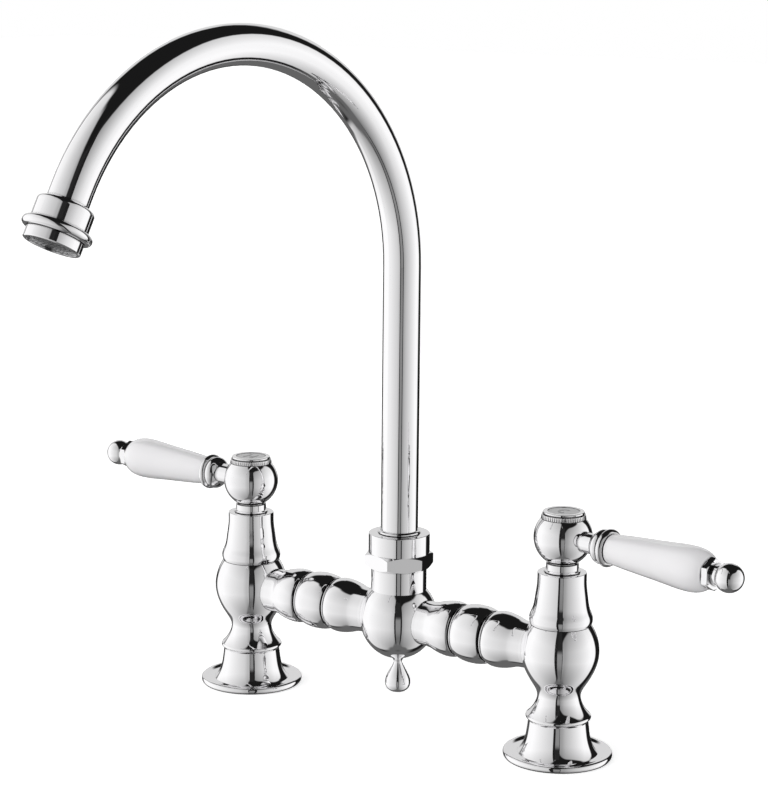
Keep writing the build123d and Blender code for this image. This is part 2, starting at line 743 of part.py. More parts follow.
def aerator_housing():
    """Threaded cup that carries the mesh and the flow straightener, with a bevelled mouth."""
    notch_radius = aerator_radius - aerator_notch_depth
    notch_top = bead_face + aerator_notch_depth
    return turned(outlet_frame, (aerator_cup_radius, aerator_inner_end),
                  (aerator_thread_radius, aerator_inner_end), (aerator_thread_radius, bead_face),
                  (notch_radius, bead_face), (notch_radius, notch_top), (aerator_radius, notch_top),
                  (aerator_radius, outlet_face - aerator_bevel),
                  (aerator_radius - aerator_bevel, outlet_face), (aerator_bore_radius, outlet_face),
                  (aerator_bore_radius, mesh_foot), (aerator_cup_radius, mesh_foot))


def aerator_mesh():
    """Perforated plate: rings of square holes round the middle one."""
    with BuildPart() as mesh:
        with BuildSketch(outlet_frame.offset(mesh_foot)):
            Circle(aerator_bore_radius - fit_gap)
            RegularPolygon(mesh_hole_radius, 4, mode=Mode.SUBTRACT)
            for row in range(1, mesh_rows + 1):
                with PolarLocations(row * mesh_hole_distance, 6 * row):
                    RegularPolygon(mesh_hole_radius, 4, mode=Mode.SUBTRACT)
        extrude(amount=mesh_thickness)
    return mesh.part


def flow_straightener():
    """Plug behind the mesh, with a ring of round channels."""
    channel_ring = aerator_thread_radius / 2
    with BuildPart() as straightener:
        with BuildSketch(outlet_frame.offset(mesh_foot - straightener_thickness)):
            Circle(aerator_cup_radius - fit_gap)
            with PolarLocations(channel_ring, straightener_channels):
                Circle(straightener_channel_radius, mode=Mode.SUBTRACT)
        extrude(amount=straightener_thickness)
    return straightener.part


def aerator_washer():
    return ring(outlet_frame, aerator_thread_radius - aerator_washer_width, aerator_thread_radius,
                aerator_inner_end - aerator_washer_thickness, aerator_inner_end)


# ---------------------------------------------------------------- quarter-turn valve
def cartridge_body(frame):
    """Brass valve body: windowed barrel, thread, seating flange and bonnet."""
    flange_top = neck_top_height + cap_flange_thickness
    groove_radius = barrel_radius - barrel_groove_depth
    half_groove = barrel_seal_cord / 2 + fit_gap
    with BuildPart() as body:
        with BuildSketch(half_plane(frame)):
            with BuildLine():
                Polyline((barrel_bore_radius, barrel_foot_height), (barrel_radius, barrel_foot_height),
                         (barrel_radius, barrel_seal_height - half_groove),
                         (groove_radius, barrel_seal_height - half_groove),
                         (groove_radius, barrel_seal_height + half_groove),
                         (barrel_radius, barrel_seal_height + half_groove),
                         (barrel_radius, thread_bottom_height), (thread_radius, thread_bottom_height),
                         (thread_radius, neck_top_height), (cap_flange_radius, neck_top_height),
                         (cap_flange_radius, flange_top), (bonnet_radius, flange_top),
                         (bonnet_radius, bonnet_top_height), (spindle_bore_radius, bonnet_top_height),
                         (spindle_bore_radius, barrel_bore_top), (barrel_bore_radius, barrel_bore_top),
                         close=True)
            make_face()
        revolve(axis=turning_axis(frame))
        with BuildSketch(frame.offset(window_bottom)):
            Rectangle(4 * barrel_radius, window_width)
            Circle(barrel_bore_radius, mode=Mode.SUBTRACT)
        extrude(amount=window_height, mode=Mode.SUBTRACT)
        with BuildSketch(frame.offset(spindle_seal_height - spindle_seal_cord / 2 - fit_gap)):
            Circle(spindle_bore_radius + spindle_seal_cord)
        extrude(amount=spindle_seal_cord + 2 * fit_gap, mode=Mode.SUBTRACT)
    return body.part


def valve_seals(frame):
    """Seal round the valve's barrel and seal round its spindle."""
    with BuildPart() as seals:
        with BuildSketch(half_plane(frame)):
            with Locations((barrel_radius - barrel_groove_depth + fit_gap + barrel_seal_cord / 2,
                            barrel_seal_height)):
                Circle(barrel_seal_cord / 2)
            with Locations((spindle_bore_radius + spindle_seal_cord / 2, spindle_seal_height)):
                Circle(spindle_seal_cord / 2)
        revolve(axis=turning_axis(frame))
    return seals.part


def ceramic_disc(frame, foot, first_port):
    """Valve disc with two opposite ports; first_port is the heading of one of them in the frame."""
    with BuildPart() as disc:
        with BuildSketch(frame.offset(foot)):
            Circle(disc_radius - fit_gap)
            for port in (first_port, first_port + 180):
                SlotArc(CenterArc((0, 0), port_radius, port - port_sweep / 2, port_sweep), port_width,
                        mode=Mode.SUBTRACT)
        extrude(amount=disc_thickness)
    return disc.part


def spindle(frame):
    """Valve spindle: the carrier that turns the moving disc, cut across for the water, and the shaft."""
    channel_depth = carrier_thickness / 2
    with BuildPart() as shaft:
        with BuildSketch(frame.offset(carrier_foot)):
            Circle(disc_radius - fit_gap)
            Rectangle(2 * disc_radius, port_width * 2, mode=Mode.SUBTRACT)
            Circle(port_radius - port_width / 2)
        extrude(amount=channel_depth)
        with BuildSketch(frame.offset(carrier_foot + channel_depth)):
            Circle(disc_radius - fit_gap)
        extrude(amount=carrier_thickness - channel_depth)
        with BuildSketch(frame.offset(carrier_foot + carrier_thickness)):
            Circle(spindle_radius)
        extrude(amount=spindle_top_height - carrier_foot - carrier_thickness)
        with BuildSketch(frame.offset(screw_foot_height - fit_gap)):
            Circle(screw_radius + fit_gap)
        extrude(amount=spindle_top_height - screw_foot_height + fit_gap, mode=Mode.SUBTRACT)
    return shaft.part


# ---------------------------------------------------------------- bell cover and lever hub
def bell_cover(frame):
    """Spun cover over the valve, open below where it grips the pillar's neck, with a hole on top."""
    curve = [(bell_foot_radius, bell_foot_height), (bell_flare_radius, bell_flare_height),
             (bell_middle_radius, bell_middle_height), (bell_upper_radius, bell_upper_height),
             (bell_top_radius, bell_top_height)]
    grip = neck_radius + fit_gap
    hole = hub_skirt_radius + running_gap
    ceiling = bell_top_height - bell_top_thickness
    with BuildPart() as bell:
        with BuildSketch(half_plane(frame)):
            with BuildLine():
                foot_round = ThreePointArc(
                    (bell_edge_radius, shoulder_height),
                    (bell_foot_radius - bell_edge_round / 2, (shoulder_height + bell_foot_height) / 2),
                    (bell_foot_radius, bell_foot_height))
                Spline(*curve, tangents=[foot_round % 1, (0, 1)])
                Polyline(curve[-1], (hole, bell_top_height), (hole, ceiling),
                         (bell_top_radius - bell_wall, ceiling),
                         (bell_upper_radius - bell_wall, bell_upper_height),
                         (bell_middle_radius - bell_wall, bell_middle_height),
                         (bell_flare_radius - bell_wall, bell_flare_height), (grip, bell_land_height),
                         (grip, shoulder_height), (bell_edge_radius, shoulder_height))
            make_face()
        revolve(axis=turning_axis(frame))
        top_edges = bell.edges().filter_by(GeomType.CIRCLE).group_by(Axis.Z)[-1]
        fillet(top_edges.sort_by(SortBy.RADIUS)[-1], bell_edge_round)
    return bell.part


def lever_hub(frame, lever_frame):
    """Ball that joins lever and spindle, with a skirt that drops into the bell cover."""
    bead_foot = bell_top_height + running_gap
    bead_top = bead_foot + hub_bead_thickness
    screw_pocket = screw_head_radius + running_gap
    with BuildPart() as hub:
        with BuildSketch(half_plane(frame)):
            with Locations((0, lever_height)):
                Circle(hub_radius)
            with Locations((0, hub_top_height)):
                Rectangle(4 * hub_radius, hub_radius, align=(Align.CENTER, Align.MIN), mode=Mode.SUBTRACT)
            with Locations((0, lever_height)):
                Rectangle(4 * hub_radius, 4 * hub_radius, align=(Align.MAX, Align.CENTER), mode=Mode.SUBTRACT)
            with Locations((0, hub_skirt_top)):
                Rectangle(4 * hub_radius, hub_radius, align=(Align.MIN, Align.MAX), mode=Mode.SUBTRACT)
                Rectangle(4 * hub_radius, hub_groove_height, align=(Align.MIN, Align.MIN), mode=Mode.SUBTRACT)
                Rectangle(hub_groove_radius, lever_height - hub_skirt_top, align=(Align.MIN, Align.MIN))
            with BuildLine():
                Polyline((0, hub_skirt_top), (0, hub_skirt_foot), (hub_skirt_radius, hub_skirt_foot),
                         (hub_skirt_radius, bead_foot), (hub_bead_radius, bead_foot),
                         (hub_bead_radius, (bead_foot + bead_top) / 2), (hub_skirt_radius, bead_top),
                         (hub_skirt_radius, hub_skirt_top), close=True)
            make_face()
        revolve(axis=turning_axis(frame))
        with BuildSketch(frame.offset(hub_skirt_foot)):
            Circle(spindle_radius + fit_gap)
        extrude(amount=hub_socket_top - hub_skirt_foot, mode=Mode.SUBTRACT)
        with BuildSketch(frame.offset(hub_socket_top)):
            Circle(screw_hole_radius)
        extrude(amount=screw_seat_height - hub_socket_top, mode=Mode.SUBTRACT)
        with BuildSketch(frame.offset(screw_seat_height)):
            Circle(screw_pocket)
        extrude(amount=hub_top_height - screw_seat_height, mode=Mode.SUBTRACT)
        with BuildSketch(frame.offset(hub_top_height - cap_spigot_length - fit_gap)):
            Circle(cap_spigot_radius + fit_gap)
        extrude(amount=cap_spigot_length + fit_gap, mode=Mode.SUBTRACT)
        with BuildSketch(lever_frame.offset(tenon_start)):
            Circle(tenon_radius + fit_gap)
        extrude(amount=hub_radius, mode=Mode.SUBTRACT)
        with BuildSketch(lever_frame.offset(stub_start)):
            Circle(stub_radius + fit_gap)
        extrude(amount=hub_radius, mode=Mode.SUBTRACT)
    return hub.part


def hub_screw(frame):
    with BuildPart() as screw:
        with BuildSketch(frame.offset(screw_seat_height)):
            Circle(screw_head_radius)
        extrude(amount=screw_head_height)
        with BuildSketch(frame.offset(screw_foot_height)):
            Circle(screw_radius)
        extrude(amount=screw_seat_height - screw_foot_height)
        with BuildSketch(frame.offset(screw_seat_height + screw_head_height / 2)):
            RegularPolygon(screw_key_radius, 6)
        extrude(amount=screw_head_height / 2, mode=Mode.SUBTRACT)
    return screw.part


def index_cap(frame):
    """Screw-in cap of the hub: coin-edged ring, a groove and a bezel round the index disc's recess."""
    relief_radius = cap_ring_foot_radius - cap_relief_depth
    ring_foot = hub_top_height + cap_relief_height
    ring_top = hub_top_height + cap_ring_height
    bezel_foot = ring_top + cap_groove_height
    bezel_round = cap_bezel_height / 2
    bezel_corner = bezel_round * (1 - cos(radians(45)))
    recess_floor = cap_top_height - cap_recess_depth
    with BuildPart() as cap:
        with BuildSketch(half_plane(frame)):
            with BuildLine():
                Polyline((0, recess_floor), (0, hub_top_height - cap_spigot_length),
                         (cap_spigot_radius, hub_top_height - cap_spigot_length),
                         (cap_spigot_radius, hub_top_height), (relief_radius, hub_top_height),
                         (relief_radius, ring_foot), (cap_ring_foot_radius, ring_foot),
                         (cap_ring_top_radius, ring_top), (cap_groove_radius, ring_top),
                         (cap_groove_radius, bezel_foot), (cap_bezel_radius, bezel_foot),
                         (cap_bezel_radius, cap_top_height - bezel_round))
                ThreePointArc((cap_bezel_radius, cap_top_height - bezel_round),
                              (cap_bezel_radius - bezel_corner, cap_top_height - bezel_corner),
                              (cap_bezel_radius - bezel_round, cap_top_height))
                Polyline((cap_bezel_radius - bezel_round, cap_top_height),
                         (cap_recess_radius, cap_top_height), (cap_recess_radius, recess_floor),
                         (0, recess_floor))
            make_face()
        revolve(axis=turning_axis(frame))
        with BuildSketch(frame.offset(hub_top_height)):
            with PolarLocations((cap_ring_foot_radius + cap_ring_top_radius) / 2, knurl_count):
                Circle(knurl_groove_radius)
        extrude(amount=cap_ring_height, mode=Mode.SUBTRACT)
    return cap.part


def index_disc(frame):
    foot = cap_top_height - cap_recess_depth
    edge = cap_recess_radius - fit_gap
    return turned(frame, (0, foot), (edge, foot), (edge, foot + index_thickness), (0, foot + index_thickness))


# ---------------------------------------------------------------- lever
def lever_collar(frame):
    """Turned collar between hub and grip: tenon, stub and two rounded beads."""
    with BuildPart() as collar:
        with BuildSketch(half_plane(frame)):
            with BuildLine():
                bore = rod_radius + fit_gap
                Polyline((0, rod_start), (0, tenon_start), (tenon_radius, tenon_start),
                         (tenon_radius, stub_start), (stub_radius, stub_start), (stub_radius, stub_end))
                Spline((stub_radius, stub_end), (collar_flare_radius, collar_flare_reach),
                       tangents=[(0, 1), (1, 0.8)])
                Spline((collar_flare_radius, collar_flare_reach), (collar_bead_radius, collar_bead_reach),
                       (collar_groove_radius, collar_groove_reach), tangents=[(1, 0.8), (-0.8, 1)])
                Spline((collar_groove_radius, collar_groove_reach), (collar_ring_radius, collar_ring_reach),
                       (collar_end_radius, collar_end), tangents=[(1, 0.6), (-1, 0.8)])
                Polyline((collar_end_radius, collar_end), (bore, collar_end), (bore, rod_start),
                         (0, rod_start))
            make_face()
        revolve(axis=turning_axis(frame))
    return collar.part


def lever_rod(frame):
    with BuildPart() as rod:
        with BuildSketch(frame.offset(rod_start)):
            Circle(rod_radius)
        extrude(amount=rod_end - rod_start)
    return rod.part


def grip_washers(frame):
    with BuildPart() as washers:
        for foot in (collar_end, grip_end):
            with BuildSketch(frame.offset(foot)):
                Circle(grip_washer_radius)
                Circle(rod_radius + fit_gap, mode=Mode.SUBTRACT)
            extrude(amount=grip_washer_thickness)
    return washers.part


def grip(frame):
    """Porcelain grip, slim at the collar and full towards its end."""
    bore = rod_radius + fit_gap
    with BuildPart() as handle:
        with BuildSketch(half_plane(frame)):
            with BuildLine():
                Polyline((grip_tip_radius, grip_end), (bore, grip_end), (bore, grip_foot),
                         (grip_root_radius, grip_foot))
                Spline((grip_root_radius, grip_foot),
                       (grip_root_flare_radius, grip_foot + grip_root_flare_reach),
                       (grip_middle_radius, grip_end - grip_middle_reach),
                       (grip_belly_radius, grip_end - grip_belly_reach),
                       (grip_shoulder_radius, grip_end - grip_shoulder_reach), (grip_tip_radius, grip_end))
            make_face()
        revolve(axis=turning_axis(frame))
    return handle.part


def end_nut(frame):
    with BuildPart() as nut:
        with BuildSketch(frame.offset(end_nut_foot)):
            RegularPolygon(end_nut_corner_radius, 6)
        extrude(amount=end_nut_thickness)
        with BuildSketch(half_plane(frame)):
            with BuildLine():
                Polyline((0, end_nut_foot), (end_nut_corner_radius, end_nut_foot),
                         (end_nut_corner_radius, end_nut_top - end_nut_chamfer_height),
                         (end_nut_corner_radius - end_nut_chamfer_width, end_nut_top), (0, end_nut_top),
                         close=True)
            make_face()
        revolve(axis=turning_axis(frame), mode=Mode.INTERSECT)
        with BuildSketch(frame.offset(end_nut_foot)):
            Circle(rod_radius + fit_gap)
        extrude(amount=end_nut_thickness, mode=Mode.SUBTRACT)
    return nut.part


def end_ball(frame):
    with BuildPart() as ball:
        with BuildSketch(half_plane(frame)):
            with Locations((0, end_ball_middle)):
                Circle(end_ball_radius)
            with Locations((0, end_nut_top)):
                Rectangle(end_neck_radius, end_ball_reach, align=(Align.MIN, Align.MIN))
            with Locations((0, end_ball_middle)):
                Rectangle(2 * end_ball_radius, 4 * end_ball_radius, align=(Align.MAX, Align.CENTER),
                          mode=Mode.SUBTRACT)
        revolve(axis=turning_axis(frame))
        with BuildSketch(frame.offset(end_nut_top)):
            Circle(rod_radius + fit_gap)
        extrude(amount=rod_end + fit_gap - end_nut_top, mode=Mode.SUBTRACT)
    return ball.part


# ---------------------------------------------------------------- the whole mixer
centre_frame = upright_frame(0, 0)
spout_frame = upright_frame(0, spout_heading)

os.makedirs("parts", exist_ok=True)

for side, outward, lever_facing in (("hot", 180, hot_lever_heading), ("cold", 0, cold_lever_heading)):
    x = pillar_reach * heading(outward).X
    inward = outward + 180
    arm_frame = level_frame(arm_middle * heading(outward).X, bridge_height, outward)
    pillar_frame = upright_frame(x, inward)
    hub_frame = upright_frame(x, lever_facing)
    lever_frame = level_frame(x, lever_height, lever_facing)

    keep(base_flange(pillar_frame), f"{side}_base_flange")
    keep(ring(pillar_frame, base_seal_inner_radius, base_seal_outer_radius, 0, base_seal_thickness),
         f"{side}_base_seal")
    keep(pillar(pillar_frame, level_frame(x, bridge_height, inward)), f"{side}_pillar")
    keep(bridge_arm(arm_frame), f"{side}_bridge_arm")
    keep(arm_seals(arm_frame), f"{side}_arm_seals")

    keep(cartridge_body(pillar_frame), f"{side}_valve_body")
    keep(ring(pillar_frame, seat_seal_inner_radius, disc_radius, seat_height, fixed_disc_foot),
         f"{side}_seat_seal")
    keep(valve_seals(pillar_frame), f"{side}_valve_seals")
    keep(ceramic_disc(hub_frame, fixed_disc_foot, 90), f"{side}_fixed_disc")
    keep(ceramic_disc(hub_frame, moving_disc_foot, 0), f"{side}_moving_disc")
    keep(spindle(hub_frame), f"{side}_spindle")
    keep(ring(hub_frame, spindle_radius + fit_gap, clip_radius, clip_height, clip_height + clip_thickness),
         f"{side}_spindle_clip")

    keep(bell_cover(pillar_frame), f"{side}_bell_cover")
    keep(lever_hub(hub_frame, lever_frame), f"{side}_lever_hub")
    keep(hub_screw(hub_frame), f"{side}_hub_screw")
    keep(index_cap(hub_frame), f"{side}_index_cap")
    keep(index_disc(hub_frame), f"{side}_index_disc")

    keep(lever_collar(lever_frame), f"{side}_lever_collar")
    keep(lever_rod(lever_frame), f"{side}_lever_rod")
    keep(grip_washers(lever_frame), f"{side}_grip_washers")
    keep(grip(lever_frame), f"{side}_grip")
    keep(end_nut(lever_frame), f"{side}_end_nut")
    keep(end_ball(lever_frame), f"{side}_end_ball")

keep(centre_body(centre_frame), "centre_body")
keep(drop_finial(centre_frame), "drop_finial")
keep(spout_nut(centre_frame), "spout_nut")
keep(ring(centre_frame, tube_radius + running_gap, nut_bore_radius - fit_gap, slip_ring_foot, slip_ring_top),
     "slip_ring")
keep(spout_tail(spout_frame), "spout_tail")
keep(o_rings(spout_frame, tail_groove_radius, tail_seal_cord - fit_gap, tail_seal_heights), "spout_seals")
keep(spout_tube(spout_frame), "spout_tube")
keep(spout_foot_ring(spout_frame), "spout_foot_ring")
keep(outlet_ferrule(), "outlet_ferrule")
keep(aerator_washer(), "aerator_washer")
keep(flow_straightener(), "flow_straightener")
keep(aerator_housing(), "aerator_housing")
keep(aerator_mesh(), "aerator_mesh")
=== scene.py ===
"""Finishes, small details and studio of a chrome bridge kitchen mixer with porcelain levers.

Metres. X runs along the bridge, the user stands at -Y and Z is up.
"""

import json
from math import cos, radians, sin
from typing import NamedTuple

import bmesh
import bpy
from bpy.props import FloatProperty, FloatVectorProperty, PointerProperty
from mathutils import Matrix, Vector


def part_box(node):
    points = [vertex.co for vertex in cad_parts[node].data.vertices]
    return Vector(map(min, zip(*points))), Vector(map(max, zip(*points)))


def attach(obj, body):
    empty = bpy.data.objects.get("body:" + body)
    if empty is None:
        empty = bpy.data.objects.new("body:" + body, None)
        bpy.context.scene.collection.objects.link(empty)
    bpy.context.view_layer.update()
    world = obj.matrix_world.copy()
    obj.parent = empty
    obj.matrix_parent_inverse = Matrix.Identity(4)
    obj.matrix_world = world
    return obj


bl_info = {
    "name": "Bridge kitchen mixer",
    "version": (1, 0, 0),
    "blender": (4, 5, 0),
    "location": "3D View > Sidebar > Mixer",
    "description": "Dresses the bridge kitchen mixer in its finishes and builds its studio",
    "category": "Object",
}

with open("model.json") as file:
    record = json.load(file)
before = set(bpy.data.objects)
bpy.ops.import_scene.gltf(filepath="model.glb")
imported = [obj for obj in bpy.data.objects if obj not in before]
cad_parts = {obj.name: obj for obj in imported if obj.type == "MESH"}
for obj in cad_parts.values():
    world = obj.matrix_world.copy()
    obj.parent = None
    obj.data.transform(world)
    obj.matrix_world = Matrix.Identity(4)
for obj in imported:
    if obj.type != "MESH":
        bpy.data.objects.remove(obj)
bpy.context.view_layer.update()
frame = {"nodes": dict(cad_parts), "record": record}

MM = 0.001
UP = Vector((0.0, 0.0, 1.0))
WHITE = (1.0, 1.0, 1.0, 1.0)
BLACK = (0.0, 0.0, 0.0, 1.0)
PHOTO_WIDTH = 768              # pixels
PHOTO_HEIGHT = 796
SENSOR = 36.0                  # mm, along the photo's longer side
BUMP_REACH = 0.02 * MM         # height of the bump in every finish at full strength
WAVE_PERIOD = 314.0            # mm between the bands of a wave texture at scale 1

SLOT_OF_NODE = {row["node"]: row["material_slot"] for row in frame["record"]["subparts"]}
SIDES = ("hot", "cold")


def colour_property(name, default, description):
    return FloatVectorProperty(name=name, description=description, default=default,
                               subtype="COLOR", size=3, min=0, max=1)


def share_property(name, default, description, most=1.0):
    return FloatProperty(name=name, description=description, default=default,
                         subtype="FACTOR", min=0, max=most)


def length_property(name, default, description):
    return FloatProperty(name=name, description=description, default=default,
                         unit="LENGTH", precision=5)


def angle_property(name, default, description):
    return FloatProperty(name=name, description=description, default=radians(default),
                         unit="ROTATION", subtype="ANGLE")


def pixel_property(name, default, description):
    return FloatProperty(name=name, description=description, default=default)


# ---------------------------------------------------------------- settings
class ChromeFinish(bpy.types.PropertyGroup):
    """Mirror plate on the cast and turned brass"""
    tint: colour_property("Tint", (0.95, 0.945, 0.955), "Colour of the mirror")
    gloss: share_property("Least roughness", 0.02, "Roughness where the plate is freshly polished")
    haze: share_property("Most roughness", 0.055, "Roughness under finger haze")
    ripple: share_property("Ripple", 0.08, "How much the polishing wheel left the surface uneven")
    # Painted shade: how far ambient occlusion darkens the chrome's base colour deep in a groove
    painted_groove_shade: share_property("Painted groove shade", 0.12, "Share of the brightness that is left deep in a groove")


class PorcelainFinish(bpy.types.PropertyGroup):
    """White glaze of the grips, and the enamel of the index discs and their letters"""
    glaze: colour_property("Glaze", (0.91, 0.9, 0.915), "Colour of the glazed body")
    gloss: share_property("Least roughness", 0.06, "Roughness of the clean glaze")
    haze: share_property("Most roughness", 0.12, "Roughness where it has been handled")
    disc: colour_property("Index disc", (0.38, 0.38, 0.385), "Enamel of the index discs")
    mark: colour_property("Mark", (0.06, 0.06, 0.065), "Enamel of the letters")


class InnerFinish(bpy.types.PropertyGroup):
    """Metals, seals and plastics inside the mixer"""
    brass: colour_property("Brass", (0.72, 0.5, 0.22), "Turned brass of valves and spout tail")
    steel: colour_property("Steel", (0.6, 0.6, 0.61), "Stainless steel of rods and spindles")
    rubber: colour_property("Rubber", (0.018, 0.018, 0.018), "Seals and washers")
    acetal: colour_property("Acetal", (0.82, 0.82, 0.8), "Slip ring and flow straightener")
    ceramic: colour_property("Ceramic", (0.86, 0.85, 0.8), "Lapped valve discs")
    gauze: colour_property("Gauze", (0.6, 0.6, 0.61), "Perforated plate in the outlet")


class LetterSizes(bpy.types.PropertyGroup):
    """Plain letters enamelled on the index discs"""
    height: length_property("Height", 6.4 * MM, "Cap height of a letter")
    width: length_property("Width", 5.2 * MM, "Width of a letter")
    stroke: length_property("Stroke", 1.1 * MM, "Width of a stroke")
    relief: length_property("Relief", 0.06 * MM, "How far the enamel stands up")


class StudioSettings(bpy.types.PropertyGroup):
    """Camera, floor and light tent"""
    camera_azimuth: angle_property("Camera azimuth", 36.27, "Towards +X from the front")
    camera_elevation: angle_property("Camera elevation", 12.925, "Above the level through the aim")
    camera_roll: angle_property("Camera roll", 0.589, "Clockwise lean of the camera")
    camera_distance: length_property("Camera distance", 1.0696, "From the aim to the camera")
    aim_height: length_property("Aim height", 0.116497, "Height of the aim over the worktop")
    aim_side: length_property("Aim side", -0.003038, "Shift of the aim to the camera's right")
    focal_length: pixel_property("Focal length", 2301.7, "In pixels of the photo")
    axis_column: pixel_property("Axis column", 393.35, "Photo column of the lens axis, in pixels")
    axis_row: pixel_property("Axis row", 476.92, "Photo row of the lens axis, in pixels")
    floor_size: length_property("Floor size", 12.0, "Side of the floor")
    floor_drop: length_property("Floor drop", 0.1 * MM, "From the worktop's level to the floor")
    floor_colour: colour_property("Floor colour", (0.8, 0.8, 0.8), "Pale floor")
    floor_lift: share_property("Floor lift", 0.62, "Light that the camera sees added to it", 2.0)
    tent_level: share_property("Tent level", 1.0, "Brightness of the light tent on mirrors", 4.0)
    fill_level: share_property("Fill level", 2.0, "Brightness of the tent on matt surfaces", 4.0)
    box_distance: length_property("Box distance", 0.6, "From the mixer to the soft boxes' fronts")
    box_depth: length_property("Box depth", 0.38, "Depth of the soft boxes' dark sides")
    gap_left: length_property("Gap left", 0.125, "From the camera's line to the left box")
    gap_right: length_property("Gap right", 0.105, "From the camera's line to the right box")
    gap_top: length_property("Gap top", 1.1, "Height up to which the gap is filled")
    gap_foot: length_property("Gap foot", -1.6, "Height from which the gap is filled")
    gap_level: share_property("Gap level", 0.25, "Brightness of the room seen in the gap")
    side_level: share_property("Side level", 0.014, "Brightness of the boxes' dark sides")


SETTING_GROUPS = {
    "mixer_chrome": ChromeFinish,
    "mixer_porcelain": PorcelainFinish,
    "mixer_inner": InnerFinish,
    "mixer_letters": LetterSizes,
    "mixer_studio": StudioSettings,
}


# ---------------------------------------------------------------- node helpers
class Shader:
    """Short hand for building one node tree."""

    def __init__(self, tree):
        self.tree = tree

    def add(self, kind, **settings):
        node = self.tree.nodes.new(kind)
        for name, value in settings.items():
            setattr(node, name, value)
        return node

    def wire(self, source, target):
        self.tree.links.new(source, target)

    def feed(self, target, value):
        if isinstance(value, bpy.types.NodeSocket):
            self.wire(value, target)
        else:
            target.default_value = value

    def math(self, operation, *values):
        node = self.add("ShaderNodeMath", operation=operation)
        for slot, value in zip(node.inputs, values):
            self.feed(slot, value)
        return node.outputs[0]

    def spread(self, value, low, high, out_low, out_high, smooth=True):
        """Maps value from low..high to out_low..out_high, clamped."""
        node = self.add("ShaderNodeMapRange",
                        interpolation_type="SMOOTHSTEP" if smooth else "LINEAR")
        for slot, given in zip(node.inputs, (value, low, high, out_low, out_high)):
            self.feed(slot, given)
        return node.outputs[0]

    def blend(self, factor, first, second):
        """Number that goes from first to second with factor."""
        node = self.add("ShaderNodeMix", data_type="FLOAT")
        for slot, given in (("Factor", factor), ("A", first), ("B", second)):
            self.feed(node.inputs[slot], given)
        return node.outputs["Result"]

    def noise(self, size, detail):
        """Even noise on the object, with size features to a metre."""
        node = self.add("ShaderNodeTexNoise")
        self.wire(self.add("ShaderNodeTexCoord").outputs["Object"], node.inputs["Vector"])
        self.wire(size, node.inputs["Scale"])
        node.inputs["Detail"].default_value = detail
        return node


def new_group(name, inputs, outputs):
    """Empty node group with number sockets, and its tools."""
    tree = bpy.data.node_groups.new(name, "ShaderNodeTree")
    for label, default in inputs.items():
        socket = tree.interface.new_socket(label, in_out="INPUT", socket_type="NodeSocketFloat")
        socket.default_value = default
    for label in outputs:
        tree.interface.new_socket(label, in_out="OUTPUT", socket_type="NodeSocketFloat")
    tools = Shader(tree)
    return tools, tools.add("NodeGroupInput").outputs, tools.add("NodeGroupOutput").inputs


def handled_surface_group():
    """Finger haze and the slow ripple of a polished or glazed surface."""
    clean, smeared = 0.42, 0.68        # noise where the haze starts and where it is full
    tools, given, result = new_group(
        "Handled surface",
        {"Haze size": 90.0, "Ripple size": 35.0, "Least roughness": 0.02, "Most roughness": 0.06},
        ("Roughness", "Height"))
    haze = tools.noise(given["Haze size"], detail=5.0)
    haze.inputs["Roughness"].default_value = 0.62
    tools.wire(tools.spread(haze.outputs["Fac"], clean, smeared,
                            given["Least roughness"], given["Most roughness"]), result["Roughness"])
    ripple = tools.noise(given["Ripple size"], detail=1.0)
    tools.wire(ripple.outputs["Fac"], result["Height"])
    return tools.tree


def crevice_group():
    """Painted shade: share of the plate's brightness that is left in grooves, darkened by ambient
    occlusion.
    """
    deep, open_air = 0.4, 0.85         # openness at the bottom of a groove and clear of it
    tools, given, result = new_group("Painted crevice shade", {"Reach": 1.5 * MM, "Least share": 0.12},
                                     ("Share",))
    corners = tools.add("ShaderNodeAmbientOcclusion", samples=6)
    tools.wire(given["Reach"], corners.inputs["Distance"])
    tools.wire(tools.spread(corners.outputs["AO"], deep, open_air, given["Least share"], 1.0),
               result["Share"])
    return tools.tree


def turned_surface_group():
    """Fine tool rings left by a lathe, round the vertical axis. Ring spacing in millimetres."""
    tools, given, result = new_group(
        "Turned surface",
        {"Ring spacing": 0.25, "Least roughness": 0.2, "Most roughness": 0.35},
        ("Roughness", "Height"))
    place = tools.add("ShaderNodeTexCoord").outputs["Object"]
    rings = tools.add("ShaderNodeTexWave", wave_type="BANDS", bands_direction="Z")
    tools.wire(place, rings.inputs["Vector"])
    tools.wire(tools.math("DIVIDE", WAVE_PERIOD, given["Ring spacing"]), rings.inputs["Scale"])
    rings.inputs["Distortion"].default_value = 0.6
    tools.wire(rings.outputs["Fac"], result["Height"])
    tools.wire(tools.spread(rings.outputs["Fac"], 0.0, 1.0,
                            given["Least roughness"], given["Most roughness"]), result["Roughness"])
    return tools.tree


def moulded_surface_group():
    """Fine even grain of moulded rubber, plastic and fired ceramic."""
    smooth, rough = 0.3, 0.7           # noise where the grain is least and most rough
    tools, given, result = new_group(
        "Moulded surface",
        {"Grain size": 900.0, "Least roughness": 0.4, "Most roughness": 0.6},
        ("Roughness", "Height"))
    grain = tools.noise(given["Grain size"], detail=3.0)
    tools.wire(grain.outputs["Fac"], result["Height"])
    tools.wire(tools.spread(grain.outputs["Fac"], smooth, rough,
                            given["Least roughness"], given["Most roughness"]), result["Roughness"])
    return tools.tree


GROUP_BUILDERS = {
    "Handled surface": handled_surface_group,
    "Painted crevice shade": crevice_group,
    "Turned surface": turned_surface_group,
    "Moulded surface": moulded_surface_group,
}


